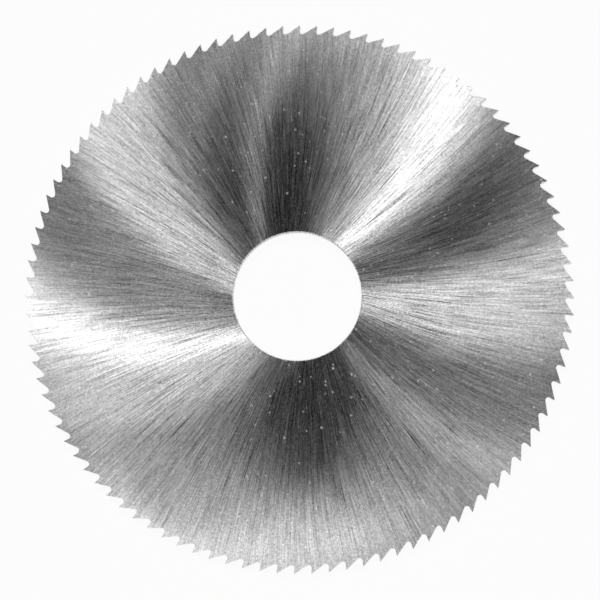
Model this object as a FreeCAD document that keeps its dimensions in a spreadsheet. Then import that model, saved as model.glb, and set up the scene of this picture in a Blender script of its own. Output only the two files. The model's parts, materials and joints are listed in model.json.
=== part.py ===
# Metal-slitting circular saw blade, one flat disc of hardened high-speed steel.
#
# Frame: millimetres. The blade lies flat on z = 0 with the axis of its arbor bore on +Z, and one
# tooth tip points along +X. Seen from above, the teeth point clockwise, which is the way they cut.
import FreeCAD, Part
import Sketcher
import math
import os

# Driving dimensions, in millimetres and degrees.
SIZES = {
    # The disc.
    "outer_diameter": 115.0,
    "bore_diameter": 27.0,
    "bore_chamfer": 0.15,
    "rim_thickness": 2.5,
    # Each side is ground hollow: it falls from the rim to a flat that the arbor's collars grip.
    "hollow_grind": 0.08,
    "clamp_diameter": 50.0,
    "rim_margin": 3.0,
    # The teeth. The rake leans the cutting face forward of the radius, and the land is the narrow
    # strip of the tip circle that grinding leaves behind each edge.
    "tooth_count": 100,
    "tooth_depth": 1.8,
    "rake_angle": 7.2,
    "gullet_radius": 0.63,
    "tooth_land": 0.08,
    # How far the outline of a tooth gap runs out past the rim.
    "cutter_overrun": 0.6,
}

X_AXIS = -1
ORIGIN = (-1, 1)
START, END, CENTRE = 1, 2, 3

doc = FreeCAD.newDocument("slitting_saw")
sheet = doc.addObject("Spreadsheet::Sheet", "sizes")
for row, (alias, value) in enumerate(SIZES.items(), start=1):
    sheet.set(f"A{row}", alias)
    sheet.set(f"B{row}", str(value))
    sheet.setAlias(f"B{row}", alias)
doc.recompute()


def polar(radius, angle):
    """The point of the sketch plane at this radius and this angle in radians."""
    return FreeCAD.Vector(radius * math.cos(angle), radius * math.sin(angle), 0)


def sketch_on(body, role, name):
    """Open a sketch on the origin plane of the body that has this role."""
    sketch = body.newObject("Sketcher::SketchObject", name)
    plane = next(feature for feature in body.Origin.OriginFeatures if feature.Role == role)
    sketch.AttachmentSupport = [(plane, "")]
    sketch.MapMode = "FlatFace"
    return sketch


def constrain(sketch, kind, *where):
    sketch.addConstraint(Sketcher.Constraint(kind, *where))


def dimension(sketch, name, expression, kind, *where):
    """Add a dimension with this name, bound to an expression in the sheet's sizes."""
    value = sketch.evalExpression(expression)
    if kind == "Angle":
        value = value.getValueAs("rad").Value
    index = sketch.addConstraint(Sketcher.Constraint(kind, *where, value))
    sketch.renameConstraint(index, name)
    sketch.setExpression(f"Constraints.{name}", expression)


def draw_half_section(body):
    """Half the disc's section, in the plane that holds the bore's axis.

    It is symmetric about the sketch's X axis, the blade's middle plane. From the bore outwards the
    upper side has the edge break, the clamping flat, the shallow cone and the full-thickness band.
    """
    outer_radius = sheet.outer_diameter / 2
    half_rim = sheet.rim_thickness / 2
    half_hub = half_rim - sheet.hollow_grind
    upper = [
        FreeCAD.Vector(sheet.bore_diameter / 2, half_hub - sheet.bore_chamfer, 0),
        FreeCAD.Vector(sheet.bore_diameter / 2 + sheet.bore_chamfer, half_hub, 0),
        FreeCAD.Vector(sheet.clamp_diameter / 2, half_hub, 0),
        FreeCAD.Vector(outer_radius - sheet.tooth_depth - sheet.rim_margin, half_rim, 0),
        FreeCAD.Vector(outer_radius, half_rim, 0),
    ]
    lower = [FreeCAD.Vector(corner.x, -corner.y, 0) for corner in reversed(upper)]
    corners = upper + lower
    sketch = sketch_on(body, "XZ_Plane", "half_section")
    sides = [
        sketch.addGeometry(Part.LineSegment(start, end), False)
        for start, end in zip(corners, corners[1:] + corners[:1])
    ]
    for side, following in zip(sides, sides[1:] + sides[:1]):
        constrain(sketch, "Coincident", side, END, following, START)
    for above, below in zip(sides[:5], reversed(sides[5:])):
        constrain(sketch, "Symmetric", above, START, below, START, X_AXIS)
    edge_break, clamp_flat, cone, rim_band, tip_wall = sides[:5]
    constrain(sketch, "Horizontal", clamp_flat)
    constrain(sketch, "Horizontal", rim_band)
    bore_edge = (*ORIGIN, edge_break, START)
    flat_edge = (*ORIGIN, cone, START)
    tip_edge = (*ORIGIN, rim_band, END)
    along_break = (edge_break, START, edge_break, END)
    along_cone = (cone, START, cone, END)
    along_band = (rim_band, START, rim_band, END)
    up_tip_wall = (tip_wall, END, tip_wall, START)
    band = "sizes.tooth_depth + sizes.rim_margin"
    dimension(sketch, "bore_radius", "sizes.bore_diameter / 2", "DistanceX", *bore_edge)
    dimension(sketch, "break_width", "sizes.bore_chamfer", "DistanceX", *along_break)
    dimension(sketch, "break_height", "sizes.bore_chamfer", "DistanceY", *along_break)
    dimension(sketch, "clamp_radius", "sizes.clamp_diameter / 2", "DistanceX", *flat_edge)
    dimension(sketch, "grind_depth", "sizes.hollow_grind", "DistanceY", *along_cone)
    dimension(sketch, "band_width", band, "DistanceX", *along_band)
    dimension(sketch, "outer_radius", "sizes.outer_diameter / 2", "DistanceX", *tip_edge)
    dimension(sketch, "rim_thickness", "sizes.rim_thickness", "DistanceY", *up_tip_wall)
    return sketch


def draw_tooth_gap(body):
    """The gap in front of the tooth whose tip is on +X, as its cutter leaves it.

    The cutting face runs in from the tip, the gullet rounds the bottom, and the straight back of
    the next tooth leads out to its land. The outline closes outside the rim.
    """
    tip_radius = sheet.outer_diameter / 2
    closing_radius = tip_radius + sheet.cutter_overrun
    gullet = sheet.gullet_radius
    rake = math.radians(sheet.rake_angle)
    pitch = 2 * math.pi / sheet.tooth_count
    next_land = sheet.tooth_land / tip_radius - pitch

    tip = polar(tip_radius, 0)
    inward = polar(1, math.pi - rake)
    beside_tip = tip + polar(gullet, -math.pi / 2 - rake)
    centre_radius = tip_radius - sheet.tooth_depth + gullet
    along = -inward.dot(beside_tip)
    face_length = along - math.sqrt(along**2 - beside_tip.dot(beside_tip) + centre_radius**2)
    gullet_centre = beside_tip + inward * face_length
    face_foot = tip + inward * face_length

    back_top = polar(tip_radius, next_land)
    to_centre = gullet_centre - back_top
    back_angle = math.atan2(to_centre.y, to_centre.x) + math.asin(gullet / to_centre.Length)
    back_foot = gullet_centre + polar(gullet, back_angle + math.pi / 2)

    sketch = sketch_on(body, "XY_Plane", "tooth_gap_outline")
    face = sketch.addGeometry(Part.LineSegment(tip, face_foot), False)
    bottom = sketch.addGeometry(
        Part.ArcOfCircle(
            Part.Circle(gullet_centre, FreeCAD.Vector(0, 0, 1), gullet),
            math.pi / 2 - rake,
            back_angle + math.pi / 2,
        ),
        False,
    )
    back = sketch.addGeometry(Part.LineSegment(back_foot, back_top), False)
    back_run_out = sketch.addGeometry(
        Part.LineSegment(back_top, polar(closing_radius, next_land)), False
    )
    closing = sketch.addGeometry(
        Part.LineSegment(polar(closing_radius, next_land), polar(closing_radius, 0)), False
    )
    face_run_out = sketch.addGeometry(Part.LineSegment(polar(closing_radius, 0), tip), False)

    constrain(sketch, "Tangent", face, END, bottom, START)
    constrain(sketch, "Tangent", bottom, END, back, START)
    constrain(sketch, "Coincident", back, END, back_run_out, START)
    constrain(sketch, "Coincident", back_run_out, END, closing, START)
    constrain(sketch, "Coincident", closing, END, face_run_out, START)
    constrain(sketch, "Coincident", face_run_out, END, face, START)
    constrain(sketch, "PointOnObject", face, START, X_AXIS)
    constrain(sketch, "PointOnObject", face_run_out, START, X_AXIS)
    constrain(sketch, "PointOnObject", *ORIGIN, back_run_out)
    dimension(sketch, "tip_radius", "sizes.outer_diameter / 2", "DistanceX", *ORIGIN, face, START)
    dimension(sketch, "face_run_out", "sizes.cutter_overrun", "DistanceX", face, START, face_run_out, START)
    dimension(sketch, "face_angle", "180 deg - sizes.rake_angle * 1 deg", "Angle", face)
    dimension(sketch, "gullet_radius", "sizes.gullet_radius", "Radius", bottom)
    dimension(
        sketch,
        "gullet_centre",
        "sizes.outer_diameter / 2 - sizes.tooth_depth + sizes.gullet_radius",
        "Distance",
        *ORIGIN,
        bottom,
        CENTRE,
    )
    dimension(sketch, "land_radius", "sizes.outer_diameter / 2", "Distance", *ORIGIN, back, END)
    dimension(sketch, "back_run_out", "sizes.cutter_overrun", "Distance", back_run_out)
    dimension(
        sketch,
        "land_angle",
        "2 * sizes.tooth_land / sizes.outer_diameter * 1 rad - 360 deg / sizes.tooth_count",
        "Angle",
        back_run_out,
    )
    return sketch


saw_blade = doc.addObject("PartDesign::Body", "saw_blade")
saw_blade.Label = "saw_blade"
saw_blade.setExpression("Placement.Base.z", "sizes.rim_thickness / 2")

half_section = draw_half_section(saw_blade)
blank = saw_blade.newObject("PartDesign::Revolution", "blank")
blank.Profile = half_section
blank.ReferenceAxis = (half_section, ["V_Axis"])
blank.Angle = 360
doc.recompute()

tooth_gap = saw_blade.newObject("PartDesign::Pocket", "tooth_gap")
tooth_gap.Profile = draw_tooth_gap(saw_blade)
tooth_gap.SideType = "Symmetric"
tooth_gap.Type = "ThroughAll"
doc.recompute()

teeth = saw_blade.newObject("PartDesign::PolarPattern", "teeth")
teeth.Originals = [tooth_gap]
bore_axis = next(feature for feature in saw_blade.Origin.OriginFeatures if feature.Role == "Z_Axis")
teeth.Axis = (bore_axis, [""])
teeth.Angle = 360
teeth.setExpression("Occurrences", "sizes.tooth_count")
saw_blade.Tip = teeth
doc.recompute()

for feature in doc.Objects:
    if {"Invalid", "Error"} & set(feature.State):
        raise RuntimeError(f"{feature.Name} failed: {feature.State}")
for sketch in (half_section, tooth_gap.Profile[0]):
    if sketch.solve() != 0 or not sketch.FullyConstrained:
        raise RuntimeError(f"{sketch.Name} is not fully constrained")
gap_volume = blank.Shape.Volume - tooth_gap.Shape.Volume
all_gaps = blank.Shape.Volume - teeth.Shape.Volume
if gap_volume <= 0 or abs(all_gaps / gap_volume - sheet.tooth_count) > 0.01:
    raise RuntimeError("the tooth gaps are not all cut")
shape = saw_blade.Shape
if shape.isNull() or not shape.isValid() or len(shape.Solids) != 1:
    raise RuntimeError("the blade is not one valid solid")

os.makedirs("parts", exist_ok=True)
shape.exportStep(f"parts/{saw_blade.Label}.step")
print(f"{saw_blade.Label}: {shape.Volume:.1f} mm3, {len(shape.Faces)} faces, {shape.BoundBox}")
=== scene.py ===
import json
import math

import bmesh
import bpy
from mathutils import Matrix, Vector


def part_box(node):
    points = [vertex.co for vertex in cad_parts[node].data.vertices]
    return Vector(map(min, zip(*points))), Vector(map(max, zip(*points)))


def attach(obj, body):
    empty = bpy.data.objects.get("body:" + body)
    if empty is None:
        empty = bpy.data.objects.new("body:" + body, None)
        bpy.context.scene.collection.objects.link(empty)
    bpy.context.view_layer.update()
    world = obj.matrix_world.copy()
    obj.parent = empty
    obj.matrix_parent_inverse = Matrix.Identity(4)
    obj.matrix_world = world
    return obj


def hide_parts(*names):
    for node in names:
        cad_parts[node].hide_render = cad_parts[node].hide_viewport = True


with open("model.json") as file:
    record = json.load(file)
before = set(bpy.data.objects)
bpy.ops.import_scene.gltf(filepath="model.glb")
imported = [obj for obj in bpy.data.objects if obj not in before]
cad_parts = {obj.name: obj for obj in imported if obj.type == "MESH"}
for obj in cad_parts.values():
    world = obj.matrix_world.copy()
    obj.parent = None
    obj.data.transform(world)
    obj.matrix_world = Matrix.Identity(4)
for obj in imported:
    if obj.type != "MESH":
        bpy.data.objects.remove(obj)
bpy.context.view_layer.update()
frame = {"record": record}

# The blade is one disc of hardened high-speed steel. Its teeth are ground into the rim one gap at
# a time, each side is ground hollow, and the bore's edges are broken so that it goes over its
# arbor. Its tip radius, thickness, clamping level and bore come from the imported solid and its
# record, and the teeth and the hollow sides are drawn here.
MM = 0.001
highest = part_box("saw_blade")[1]
mounts = {mount["name"]: mount for mount in frame["record"]["mounts"]}
TIP_RADIUS = highest.x
THICKNESS = highest.z
MIDDLE = THICKNESS / 2
TOOTH_COUNT = 100
PITCH = 2 * math.pi / TOOTH_COUNT
TOOTH_DEPTH = 1.8 * MM
RAKE = math.radians(7.2)
GULLET_RADIUS = 0.63 * MM
LAND = 0.08 * MM
RIM_MARGIN = 3 * MM
FULL_RADIUS = TIP_RADIUS - TOOTH_DEPTH - RIM_MARGIN
CLAMP_RADIUS = 25 * MM
CLAMP_LEVEL = mounts["upper_clamp_face"]["pos_m"][2]
BORE_RADIUS = mounts["arbor_bore"]["dims"]["r_mm"] * MM
BORE_BREAK = CLAMP_LEVEL - MIDDLE - mounts["arbor_bore"]["dims"]["length_mm"] * MM / 2
# The stone that takes the burr off leaves a bevel this wide along the outline.
DEBURR = 0.03 * MM
# Corners of more than this stay sharp. Those of the gullets and of the rings are smoothed over.
SHARP_CORNER = math.radians(22)
# How finely the outline of a tooth and the rings between the bore and the teeth are divided.
FLANK_STEPS = 3
GULLET_STEPS = 6
CHORD_STEPS = 3
ROOT_MARGIN = 0.35 * MM
ROOT_RADIUS = TIP_RADIUS - TOOTH_DEPTH - ROOT_MARGIN
CONE_RINGS = 7
CLAMP_RINGS = 6
# Each side is ground by the rim of a large wheel that passes a little beside the axis, so every
# grinding line is an arc that leaves the bore aslant and meets the teeth almost square.
WHEEL_RADIUS = 311 * MM
WHEEL_OFFSET = 3.07 * MM


def polar(radius, angle):
    return Vector((radius * math.cos(angle), radius * math.sin(angle)))


def turned(point, angle):
    return Matrix.Rotation(angle, 2) @ point


def divided(start, end, steps):
    """The points that divide the way from start to end evenly, both ends included."""
    return [start.lerp(end, step / steps) for step in range(steps + 1)]


def tooth_sides():
    """The back of the tooth whose tip is on +X, the gullet behind it and the next cutting face."""
    tip = polar(TIP_RADIUS, 0)
    inward = polar(1, math.pi - RAKE)
    beside_tip = tip + polar(GULLET_RADIUS, -math.pi / 2 - RAKE)
    centre_radius = TIP_RADIUS - TOOTH_DEPTH + GULLET_RADIUS
    along = -inward.dot(beside_tip)
    face_length = along - math.sqrt(along**2 - beside_tip.dot(beside_tip) + centre_radius**2)
    centre = beside_tip + inward * face_length
    land_end = polar(TIP_RADIUS, LAND / TIP_RADIUS - PITCH)
    to_centre = centre - land_end
    back_angle = math.atan2(to_centre.y, to_centre.x) + math.asin(GULLET_RADIUS / to_centre.length)
    start = back_angle + math.pi / 2
    end = math.pi / 2 - RAKE
    gullet = [
        centre + polar(GULLET_RADIUS, start + (end - start) * step / GULLET_STEPS)
        for step in range(GULLET_STEPS + 1)
    ]
    back = divided(land_end, gullet[0], FLANK_STEPS)
    face = divided(gullet[-1], tip, FLANK_STEPS)
    return [[turned(point, PITCH) for point in side] for side in (back, gullet, face)]


def rim_outline():
    """The whole outline anticlockwise, and the number of points in one pitch of it."""
    back, gullet, face = tooth_sides()
    pitch = [polar(TIP_RADIUS, 0)] + back + gullet[1:] + face[1:-1]
    teeth = range(TOOTH_COUNT)
    return [turned(point, tooth * PITCH) for tooth in teeth for point in pitch], len(pitch)


def inset(outline, depth):
    """A closed outline moved inwards by depth, its corners mitred."""
    moved = []
    for index, here in enumerate(outline):
        arriving = (here - outline[index - 1]).normalized()
        leaving = (outline[(index + 1) % len(outline)] - here).normalized()
        mitre = arriving + leaving
        mitre = Vector((-mitre.y, mitre.x)) / (1 + arriving.dot(leaving))
        moved.append(here + mitre * depth)
    return moved


def upper_level(radius):
    """The height of the upper side: the clamping flat, the shallow cone, then the full rim."""
    along_cone = (radius - CLAMP_RADIUS) / (FULL_RADIUS - CLAMP_RADIUS)
    return CLAMP_LEVEL + (THICKNESS - CLAMP_LEVEL) * min(max(along_cone, 0), 1)


def ring_angles(root, evenness):
    """The angles of a ring's points, from the spacing of the tooth roots to an even spacing."""
    in_pitch = len(root) // TOOTH_COUNT
    step = PITCH / in_pitch
    first_pitch = [math.atan2(point.y, point.x) for point in root[:in_pitch]]
    start = sum(angle - k * step for k, angle in enumerate(first_pitch)) / in_pitch
    return [
        tooth * PITCH + angle * (1 - evenness) + (start + k * step) * evenness
        for tooth in range(TOOTH_COUNT)
        for k, angle in enumerate(first_pitch)
    ]


def ring_radii():
    """The rings of one side, from the tooth roots in to the edge break of the bore."""
    cone = [
        FULL_RADIUS + (CLAMP_RADIUS - FULL_RADIUS) * step / CONE_RINGS
        for step in range(CONE_RINGS + 1)
    ]
    hub_edge = BORE_RADIUS + BORE_BREAK
    hub = [
        CLAMP_RADIUS + (hub_edge - CLAMP_RADIUS) * step / CLAMP_RINGS
        for step in range(1, CLAMP_RINGS + 1)
    ]
    return [ROOT_RADIUS] + cone + hub


def close_band(mesh, first, second):
    """Fill the band between two closed rings that have as many points each."""
    for index in range(len(first)):
        following = (index + 1) % len(first)
        mesh.faces.new((first[index], first[following], second[following], second[index]))


def add_side(mesh, side):
    """One side of the blade, 1 the upper and -1 the lower.

    It returns the side's edge loops: the outline below its bevel, and the bore below its break.
    """
    def vertex(point, level):
        return mesh.verts.new((point.x, point.y, MIDDLE + side * (level - MIDDLE)))

    outline, in_pitch = rim_outline()
    rim = [vertex(point, THICKNESS - DEBURR) for point in outline]
    face_edge = [vertex(point, THICKNESS) for point in inset(outline, DEBURR)]
    close_band(mesh, rim, face_edge)

    root = []
    for tooth in range(TOOTH_COUNT):
        tip = tooth * in_pitch
        face = [face_edge[tip - step] for step in range(FLANK_STEPS, -1, -1)]
        back = [face_edge[tip + 1 + step] for step in range(FLANK_STEPS, -1, -1)]
        rungs = []
        for front, rear in zip(face[:-1], back[:-1]):
            inner = divided(front.co.xy, rear.co.xy, CHORD_STEPS)[1:-1]
            rungs.append([front] + [vertex(point, THICKNESS) for point in inner] + [rear])
        for lower, upper in zip(rungs, rungs[1:]):
            for k in range(CHORD_STEPS):
                mesh.faces.new((lower[k], lower[k + 1], upper[k + 1], upper[k]))
        mesh.faces.new(rungs[-1] + [back[-1], face[-1]])
        root += rungs[0] + face_edge[tip + FLANK_STEPS + 2 : tip + FLANK_STEPS + 1 + GULLET_STEPS]

    ring = root
    for radius in ring_radii():
        evenness = min((ROOT_RADIUS - radius) / (ROOT_RADIUS - CLAMP_RADIUS), 1)
        angles = ring_angles([corner.co.xy for corner in root], evenness)
        inner = [vertex(polar(radius, angle), upper_level(radius)) for angle in angles]
        close_band(mesh, ring, inner)
        ring = inner
    wall_edge = [vertex(polar(BORE_RADIUS, angle), CLAMP_LEVEL - BORE_BREAK) for angle in angles]
    close_band(mesh, ring, wall_edge)
    return rim, wall_edge


def line_lean(radius):
    """How far the grinding line turns anticlockwise from the radius, this far from the axis."""
    return math.asin(radius / (2 * WHEEL_RADIUS) - WHEEL_OFFSET / radius)


def make_blade():
    """The whole blade as one closed mesh.

    The steel's sheen follows the piece's first shape, in which each point is turned by the lean
    of its grinding line. The second shape, which shows in full, has every point in its place.
    """
    mesh = bmesh.new()
    upper_rim, upper_wall = add_side(mesh, 1)
    lower_rim, lower_wall = add_side(mesh, -1)
    close_band(mesh, upper_rim, lower_rim)
    close_band(mesh, upper_wall, lower_wall)
    bmesh.ops.recalc_face_normals(mesh, faces=mesh.faces)
    data = bpy.data.meshes.new("slitting_blade")
    mesh.to_mesh(data)
    mesh.free()
    data.shade_smooth()
    data.set_sharp_from_angle(angle=SHARP_CORNER)
    blade = bpy.data.objects.new("slitting_blade", data)
    bpy.context.scene.collection.objects.link(blade)
    true_places = [corner.co.copy() for corner in data.vertices]
    for corner, place in zip(data.vertices, true_places):
        corner.co.xy = turned(place.xy, line_lean(place.xy.length))
    blade.shape_key_add(name="grinding_lines")
    true_form = blade.shape_key_add(name="true_form")
    for point, place in zip(true_form.data, true_places):
        point.co = place
    true_form.value = 1
    return blade


# The steel is bright and bare. The wheel's grit leaves fine lines from the bore to the teeth,
# which throw the light into fans, and the cutting faces and backs are ground a little duller.
STEEL = 0.62
# How wide the sheen is, ten times as wide across the lines as along them, and how much duller the
# walls of the teeth and of the bore are.
SHEEN = 0.281
WALL_DULLNESS = 0.1
# A surface that stands up less than this is a wall. Its marks are long from side to side.
LEAST_UPRIGHT = 0.9
WALL_MARKS_PER_MM = (5, 5, 0.8)
WALL_MARKS = 0.8
# The streaks between the grinding lines, coarse to fine: how many there are round the blade, their
# length in millimetres and their strength. They show more near the bore than at the teeth.
STREAKS = ((270, 16, 0.25), (550, 11, 0.8), (1100, 8, 1.8), (2000, 6, 2.4))
STREAKS_AT_AXIS = 2.1
STREAKS_LOST_PER_MM = 0.03
# What the streaks do to the steel: how far they lean it, how much sheen and dullness they give it,
# and how much they lighten it.
STREAK_LEAN = 0.06
STREAK_SHEEN = 0.04
STREAK_DULLNESS = 0.08
STREAK_TONE = 0.45
# Single lines where the grit bit deeper. They are darker than the rest.
DEEP_LINES = ((700, 16, 1.0), (1500, 12, 1.0))
DEEP_LINES_FROM = 0.17
DEEP_LINES_TONE = 1.7
# The grain of the ground surface. Part of it fades towards the teeth as the streaks do.
GRAINS_PER_MM = 3
GRAIN_DULLNESS = 0.4
FADING_GRAIN_TONE = 0.5
EVEN_GRAIN_TONE = 1.0
# Small pits and specks of dust. The surface is cut into cells of about a millimetre, and each
# cell's own chance says how large its speck is, if it has one.
SPECK_CELLS_PER_MM = 1.3
SPECK_CHANCE_FROM = 0.93
SPECK_SIZE = 5
SPECK_DULLNESS = 0.5
SPECK_TONE = 0.5


class Shade:
    """A socket in a material's node tree. Arithmetic on it adds Math nodes to the tree."""

    def __init__(self, tree, socket=None):
        self.tree = tree
        self.socket = socket

    def node(self, kind, settings=None, inputs=None, output=0):
        """Add a node: its settings first, then its sockets, each a value or a link."""
        node = self.tree.nodes.new(kind)
        for name, value in (settings or {}).items():
            setattr(node, name, value)
        for name, value in (inputs or {}).items():
            if isinstance(value, Shade):
                self.tree.links.new(value.socket, node.inputs[name])
            else:
                node.inputs[name].default_value = value
        return Shade(self.tree, node.outputs[output])

    def output(self, name):
        return Shade(self.tree, self.socket.node.outputs[name])

    def feed(self, node, name):
        self.tree.links.new(self.socket, node.inputs[name])

    def math(self, operation, *values):
        return self.node("ShaderNodeMath", {"operation": operation}, dict(enumerate(values)))

    def vector(self, operation, *values):
        return self.node("ShaderNodeVectorMath", {"operation": operation}, dict(enumerate(values)))

    def __add__(self, other):
        return self.math("ADD", self, other)

    def __sub__(self, other):
        return self.math("SUBTRACT", self, other)

    def __rsub__(self, other):
        return self.math("SUBTRACT", other, self)

    def __mul__(self, other):
        return self.math("MULTIPLY", self, other)

    def __truediv__(self, other):
        return self.math("DIVIDE", self, other)

    def __rtruediv__(self, other):
        return self.math("DIVIDE", other, self)

    def __pow__(self, other):
        return self.math("POWER", self, other)

    __radd__ = __add__
    __rmul__ = __mul__


def steel_material():
    """Bare steel with the grinding lines of the blade's sides."""
    material = bpy.data.materials.new("ground_steel")
    material.use_nodes = True
    shader = material.node_tree.nodes["Principled BSDF"]
    shader.inputs["Metallic"].default_value = 1
    shader.inputs["Anisotropic"].default_value = 1
    surface = Shade(material.node_tree)

    place = surface.node("ShaderNodeTexCoord", output="Object")
    in_mm = surface.node(
        "ShaderNodeVectorMath", {"operation": "SCALE"}, {0: place, "Scale": 1 / MM}
    )
    x = surface.node("ShaderNodeSeparateXYZ", inputs={0: in_mm}, output="X")
    y = x.output("Y")
    radius = (x * x + y * y) ** 0.5
    # Every point of one grinding line has the same value of line, an angle round the blade.
    line = surface.math("ARCTAN2", y, x) - radius * (MM / (2 * WHEEL_RADIUS))
    line = line - (WHEEL_OFFSET / MM) / radius
    across, along = surface.math("COSINE", line), surface.math("SINE", line)

    def lines(layers):
        """Three sets of streaks along the grinding lines that don't depend on each other."""
        total = None
        for count, length, strength in layers:
            reach = count / (2 * math.pi)
            point = surface.node(
                "ShaderNodeCombineXYZ",
                inputs={"X": across * reach, "Y": along * reach, "Z": radius / length + count},
            )
            settings = {"Vector": point, "Scale": 1, "Detail": 0}
            streak = surface.node("ShaderNodeTexNoise", inputs=settings, output="Color")
            streak = surface.vector("SUBTRACT", streak, (0.5, 0.5, 0.5))
            streak = surface.vector("MULTIPLY", streak, (strength, strength, strength))
            total = surface.vector("ADD", total, streak) if total else streak
        return surface.node("ShaderNodeSeparateXYZ", inputs={0: total}, output="X")

    fading = STREAKS_AT_AXIS - radius * STREAKS_LOST_PER_MM
    lean = lines(STREAKS)
    haze, tone = lean.output("Y") * fading, lean.output("Z") * fading
    deep = surface.math("MAXIMUM", lines(DEEP_LINES) - DEEP_LINES_FROM, 0)
    grain = surface.node(
        "ShaderNodeTexNoise", inputs={"Vector": in_mm, "Scale": GRAINS_PER_MM, "Detail": 1}
    )
    grain = grain - 0.5
    from_speck = surface.node(
        "ShaderNodeTexVoronoi",
        {"voronoi_dimensions": "2D"},
        {"Vector": in_mm, "Scale": SPECK_CELLS_PER_MM},
    )
    chance = surface.node("ShaderNodeSeparateColor", inputs={0: from_speck.output("Color")})
    speck = surface.math("LESS_THAN", from_speck, (chance - SPECK_CHANCE_FROM) * SPECK_SIZE)

    facing = surface.node("ShaderNodeNewGeometry", output="Normal")
    upright = surface.node("ShaderNodeSeparateXYZ", inputs={0: facing}, output="Z")
    flat = surface.math("GREATER_THAN", surface.math("ABSOLUTE", upright), LEAST_UPRIGHT)
    wall = 1 - flat
    squeezed = surface.vector("MULTIPLY", in_mm, WALL_MARKS_PER_MM)
    marks = surface.node("ShaderNodeTexNoise", inputs={"Vector": squeezed, "Scale": 1, "Detail": 2})
    marks = (marks - 0.5) * wall

    lean = lean * flat * STREAK_LEAN
    sideways = surface.node(
        "ShaderNodeCombineXYZ", inputs={"X": 0 - y / radius * lean, "Y": x / radius * lean}
    )
    normal = surface.vector("NORMALIZE", surface.vector("ADD", facing, sideways))
    normal.feed(shader, "Normal")
    (haze * STREAK_SHEEN + SHEEN + wall * WALL_DULLNESS).feed(shader, "Roughness")
    dull = surface.math("MAXIMUM", haze * STREAK_DULLNESS + grain * GRAIN_DULLNESS, 0)
    (1 - (dull + speck * SPECK_DULLNESS)).feed(shader, "Metallic")
    brightness = tone * STREAK_TONE - deep * fading * DEEP_LINES_TONE
    brightness = brightness + grain * (fading * FADING_GRAIN_TONE + EVEN_GRAIN_TONE)
    brightness = (brightness + speck * SPECK_TONE + marks * WALL_MARKS + 1) * STEEL
    colour = surface.node(
        "ShaderNodeCombineColor",
        inputs={"Red": brightness, "Green": brightness, "Blue": brightness},
    )
    colour.feed(shader, "Base Color")
    return material


blade = make_blade()
blade.data.materials.append(steel_material())
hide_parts("saw_blade")
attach(blade, "root")


# The blade lies on a wide white studio floor that curves up into a low backdrop all round.
FLOOR_RADIUS = 2.5
BACKDROP_RADIUS = 3.0
BACKDROP_HEIGHT = 0.7
FLOOR_SIDES = 96
COVE_STEPS = 12
FLOOR_COLOUR = (0.9, 0.9, 0.9, 1)
# The part of the floor's brightness that doesn't depend on the lamps. The rest keeps the shadow.
FLOOR_OWN_LIGHT = 0.95


def floor_mesh():
    mesh = bmesh.new()
    centre = mesh.verts.new((0, 0, 0))
    cove = BACKDROP_RADIUS - FLOOR_RADIUS
    profile = [(FLOOR_RADIUS, 0)]
    for step in range(1, COVE_STEPS + 1):
        angle = math.pi / 2 * step / COVE_STEPS
        profile.append((FLOOR_RADIUS + cove * math.sin(angle), cove * (1 - math.cos(angle))))
    profile.append((BACKDROP_RADIUS, BACKDROP_HEIGHT))
    rings = []
    for radius, level in profile:
        points = [polar(radius, 2 * math.pi * k / FLOOR_SIDES) for k in range(FLOOR_SIDES)]
        rings.append([mesh.verts.new((point.x, point.y, level)) for point in points])
    for k in range(FLOOR_SIDES):
        mesh.faces.new((centre, rings[0][k], rings[0][(k + 1) % FLOOR_SIDES]))
    for inner, outer in zip(rings, rings[1:]):
        close_band(mesh, inner, outer)
    data = bpy.data.meshes.new("studio_floor")
    mesh.to_mesh(data)
    mesh.free()
    data.shade_smooth()
    return data


def floor_material():
    """White board. The camera and reflections see part of it as plain white."""
    material = bpy.data.materials.new("studio_floor")
    material.use_nodes = True
    tree = material.node_tree
    board = tree.nodes["Principled BSDF"]
    board.inputs["Base Color"].default_value = FLOOR_COLOUR
    board.inputs["Roughness"].default_value = 1
    board.inputs["Specular IOR Level"].default_value = 0
    surface = Shade(tree)
    seen = surface.node("ShaderNodeLightPath", output="Is Camera Ray")
    seen = seen + seen.output("Is Glossy Ray") + seen.output("Is Transmission Ray")
    white = surface.node("ShaderNodeEmission", inputs={"Strength": 1.0})
    both = surface.node(
        "ShaderNodeMixShader",
        inputs={0: seen * FLOOR_OWN_LIGHT, 1: Shade(tree, board.outputs[0]), 2: white},
    )
    both.feed(tree.nodes["Material Output"], "Surface")
    return material


studio_floor = bpy.data.objects.new("studio_floor", floor_mesh())
bpy.context.scene.collection.objects.link(studio_floor)
studio_floor.data.materials.append(floor_material())


# Lamps stand round the blade and over it, clear of the camera. Each makes a pair of bright fans on
# the upper side: a far one straight fans, a near one fans that bend. The room is otherwise dark,
# so the steel between the fans stays dark.
ROOM_LEVEL = 0.01
# The camera stands turned by this much about the blade's axis, and the lamps stand with it.
CAMERA_ROLL = math.radians(0.63)


def studio_lamp(name, azimuth, from_zenith, half_width, half_height, distance, radiance):
    """A rectangular lamp that faces the bore.

    Its direction and its half sizes are angles in degrees as seen from the bore, its distance is
    in metres, and a radiance of 1 is the brightness of a white card.
    """
    lamp = bpy.data.lights.new(name, "AREA")
    lamp.shape = "RECTANGLE"
    lamp.size = 2 * distance * math.tan(math.radians(half_height))
    lamp.size_y = 2 * distance * math.tan(math.radians(half_width))
    lamp.energy = radiance * math.pi * lamp.size * lamp.size_y
    holder = bpy.data.objects.new(name, lamp)
    tilt, turn = math.radians(from_zenith), math.radians(azimuth) + CAMERA_ROLL
    ground = polar(distance * math.sin(tilt), turn)
    holder.location = (ground.x, ground.y, THICKNESS + distance * math.cos(tilt))
    holder.rotation_euler = (0, tilt, turn)
    holder.visible_camera = False
    bpy.context.scene.collection.objects.link(holder)


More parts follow.
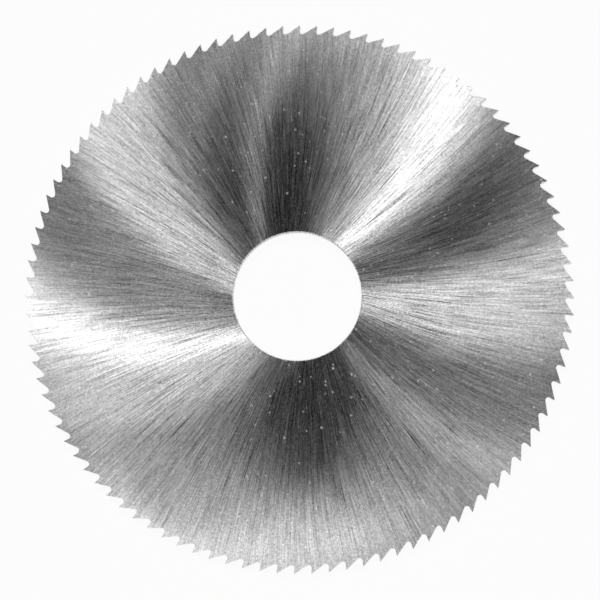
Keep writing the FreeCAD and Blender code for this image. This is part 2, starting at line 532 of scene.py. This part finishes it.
studio_lamp("left_back_spot", 120.7, 35.7, 2.2, 3.7, 2, 40)
studio_lamp("left_back_panel", 128.1, 42.6, 8.9, 16.2, 2, 3.41)
studio_lamp("left_back_strip", 109.7, 27.2, 1.5, 8.8, 0.618, 1.89)
studio_lamp("back_panel", 106.4, 33.1, 1.5, 15.1, 0.327, 0.88)
studio_lamp("back_spot", 82.5, 37.1, 1.8, 2.5, 2, 45.62)
studio_lamp("right_back_spot", 72.9, 38.4, 3.6, 10.1, 2, 7.4)
studio_lamp("right_back_small_spot", 68, 39.3, 1.5, 3.6, 2, 11.71)
studio_lamp("right_back_near_spot", 72, 35.5, 1.6, 1.5, 0.243, 11.72)
studio_lamp("right_back_panel", 67.1, 45, 2.2, 11.4, 0.15, 1.03)
studio_lamp("right_spot", 35.3, 41.1, 1.5, 1.5, 0.579, 56.52)
studio_lamp("right_front_strip", 302.6, 44.8, 1.5, 6.1, 2, 2)
studio_lamp("front_panel", 288.2, 37, 15.2, 14.8, 0.15, 1)
studio_lamp("front_strip", 269, 23.1, 10, 4.1, 0.151, 0.78)
studio_lamp("left_front_lamp", 248.6, 29, 7.7, 6.5, 0.16, 0.82)
studio_lamp("left_front_strip", 237.3, 31.2, 9.4, 1.5, 0.15, 3.24)
studio_lamp("left_front_panel", 207.3, 34.9, 11, 16.5, 0.192, 0.16)
studio_lamp("left_overhead_strip", 179.3, 30.6, 30, 3.1, 0.151, 0.13)
studio_lamp("left_overhead_spot", 176.5, 20.4, 1.6, 7.5, 0.15, 1.26)

room = bpy.data.worlds.new("studio_room")
room.use_nodes = True
room.node_tree.nodes["Background"].inputs["Color"].default_value = (1, 1, 1, 1)
room.node_tree.nodes["Background"].inputs["Strength"].default_value = ROOM_LEVEL
bpy.context.scene.world = room


# The camera looks down on the blade from just off its axis, and aims at a point beside the bore's
# centre, so that the blade stands in the picture as it does in the photograph.
CAMERA_DISTANCE = 0.3
CAMERA_LEAN = math.radians(4.9)
CAMERA_AZIMUTH = math.radians(-57.5) + CAMERA_ROLL
AIM = Vector((0.619, -0.845)) * MM
SENSOR_WIDTH = 36
PICTURE_WIDTH = 600
TIP_RADIUS_IN_PIXELS = 275.0


def add_camera():
    camera = bpy.data.cameras.new("camera")
    camera.sensor_width = SENSOR_WIDTH
    seen_width = PICTURE_WIDTH * TIP_RADIUS / TIP_RADIUS_IN_PIXELS
    camera.lens = SENSOR_WIDTH * CAMERA_DISTANCE / seen_width
    holder = bpy.data.objects.new("camera", camera)
    aim = turned(AIM, CAMERA_ROLL).to_3d() + Vector((0, 0, THICKNESS))
    side = polar(math.sin(CAMERA_LEAN), CAMERA_AZIMUTH)
    direction = Vector((side.x, side.y, math.cos(CAMERA_LEAN)))
    holder.location = aim + direction * CAMERA_DISTANCE
    up = polar(1, math.pi / 2 + CAMERA_ROLL).to_3d()
    right = up.cross(direction).normalized()
    up = direction.cross(right)
    holder.rotation_euler = Matrix((right, up, direction)).transposed().to_euler()
    bpy.context.scene.collection.objects.link(holder)
    bpy.context.scene.camera = holder


add_camera()
bpy.context.scene.view_settings.view_transform = "Standard"
